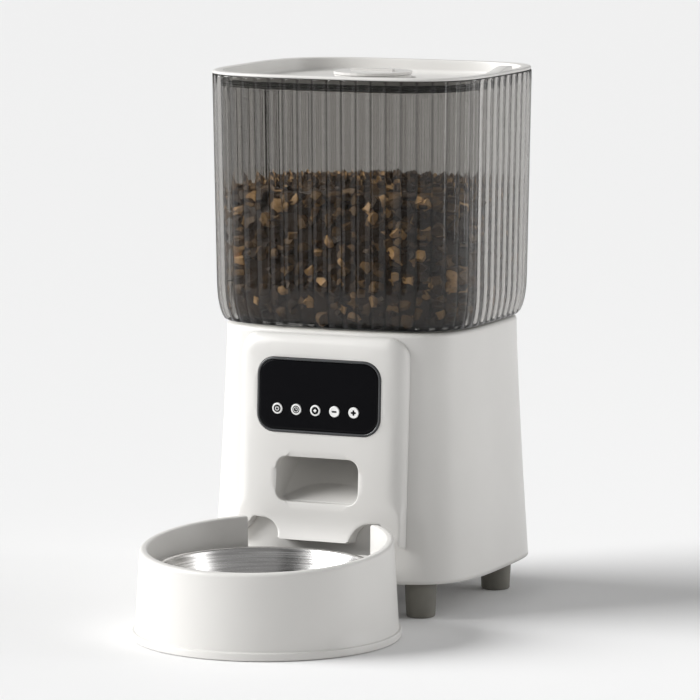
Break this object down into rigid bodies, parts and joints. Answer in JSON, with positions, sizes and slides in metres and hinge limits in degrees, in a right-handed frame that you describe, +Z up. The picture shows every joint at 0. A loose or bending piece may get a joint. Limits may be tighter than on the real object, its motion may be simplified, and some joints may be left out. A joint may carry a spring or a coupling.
{
  "type": "automatic pet feeder",
  "caption": "Table-top dry food dispenser: fluted smoked tank on a flared white base with a key panel, a chute and a round steel bowl in a detachable holder.",
  "frame": {"origin": "on the ground, under the middle of the object's box", "axes": "+Z up, -Y the front where the bowl is, +X to the right seen from the front"},
  "size_m": [0.18, 0.3258, 0.3347],
  "materials": {
    "white_plastic": "fine satin moulding",
    "smoked_clear": "clear smoked plastic with upright flutes",
    "display_black": "high gloss",
    "bezel_grey": "satin",
    "brushed_bowl_steel": "turned, fine concentric grain",
    "seal_rubber": "matt silicone",
    "foot_taupe": "matt",
    "key_white": "satin",
    "inner_plastic": "moulded",
    "gear_plastic": "moulded acetal",
    "circuit_board": "solder mask",
    "plated_metal": "zinc plated"
  },
  "bodies": {
    "base": {"base_plate": "white_plastic", "base_screw_front_left": "plated_metal", "base_screw_front_right": "plated_metal", "base_screw_rear_left": "plated_metal", "base_screw_rear_right": "plated_metal", "base_shell": "white_plastic", "battery_box": "inner_plastic", "battery_contact_negative": "plated_metal", "battery_contact_positive": "plated_metal", "chute": "white_plastic", "control_board": "circuit_board", "display_bezel": "bezel_grey", "display_window": "display_black", "foot_front_left": "foot_taupe", "foot_front_right": "foot_taupe", "foot_rear_left": "foot_taupe", "foot_rear_right": "foot_taupe", "front_cover": "white_plastic", "gear_motor": "plated_metal", "led_module": "display_black", "motor_bracket": "plated_metal", "motor_screw_left": "plated_metal", "motor_screw_right": "plated_metal", "outlet_baffle": "inner_plastic", "power_socket": "plated_metal", "rotor_housing": "inner_plastic"},
    "wheel": {"portion_wheel": "gear_plastic", "agitator": "seal_rubber", "drive_gear": "gear_plastic"},
    "pinion": {"motor_pinion": "gear_plastic"},
    "tank": {"tank": "smoked_clear"},
    "lid": {"lid": "white_plastic", "lid_seal": "seal_rubber", "desiccant_box": "white_plastic", "desiccant_cover": "white_plastic"},
    "holder": {"bowl_holder": "white_plastic", "holder_grip_ring": "seal_rubber"},
    "bowl": {"steel_bowl": "brushed_bowl_steel"},
    "battery_door": {"battery_door": "white_plastic"},
    "key_power": {"key_power": "key_white"},
    "key_clock": {"key_clock": "key_white"},
    "key_feed": {"key_feed": "key_white"},
    "key_minus": {"key_minus": "key_white"},
    "key_plus": {"key_plus": "key_white"}
  },
  "joints": [
    {"name": "tank_lift", "type": "slide", "parent": "base", "child": "tank", "axis": [0, 0, 1], "range_m": [0, 0.06]},
    {"name": "lid_lift", "type": "slide", "parent": "tank", "child": "lid", "axis": [0, 0, 1], "range_m": [0, 0.05]},
    {"name": "wheel_spin", "type": "hinge", "parent": "base", "child": "wheel", "pos_m": [0, 0.07895, 0.12], "axis": [0, 0, 1], "continuous": true},
    {"name": "pinion_spin", "type": "hinge", "parent": "base", "child": "pinion", "pos_m": [0, 0.09725, 0.102], "axis": [0, 0, 1], "continuous": true},
    {"name": "holder_pull", "type": "slide", "parent": "base", "child": "holder", "axis": [0, -1, 0], "range_m": [0, 0.08]},
    {"name": "bowl_lift", "type": "slide", "parent": "holder", "child": "bowl", "axis": [0, 0, 1], "range_m": [0, 0.06]},
    {"name": "battery_door_slide", "type": "slide", "parent": "base", "child": "battery_door", "axis": [0, 1, 0], "range_m": [0, 0.112]},
    {"name": "key_power_press", "type": "slide", "parent": "base", "child": "key_power", "axis": [0, 1, 0], "range_m": [0, 0.0008], "stiffness_N_per_m": 500},
    {"name": "key_clock_press", "type": "slide", "parent": "base", "child": "key_clock", "axis": [0, 1, 0], "range_m": [0, 0.0008], "stiffness_N_per_m": 500},
    {"name": "key_feed_press", "type": "slide", "parent": "base", "child": "key_feed", "axis": [0, 1, 0], "range_m": [0, 0.0008], "stiffness_N_per_m": 500},
    {"name": "key_minus_press", "type": "slide", "parent": "base", "child": "key_minus", "axis": [0, 1, 0], "range_m": [0, 0.0008], "stiffness_N_per_m": 500},
    {"name": "key_plus_press", "type": "slide", "parent": "base", "child": "key_plus", "axis": [0, 1, 0], "range_m": [0, 0.0008], "stiffness_N_per_m": 500}
  ],
  "couplings": [
    {"joint": "pinion_spin", "follows": "wheel_spin", "ratio": -2}
  ]
}
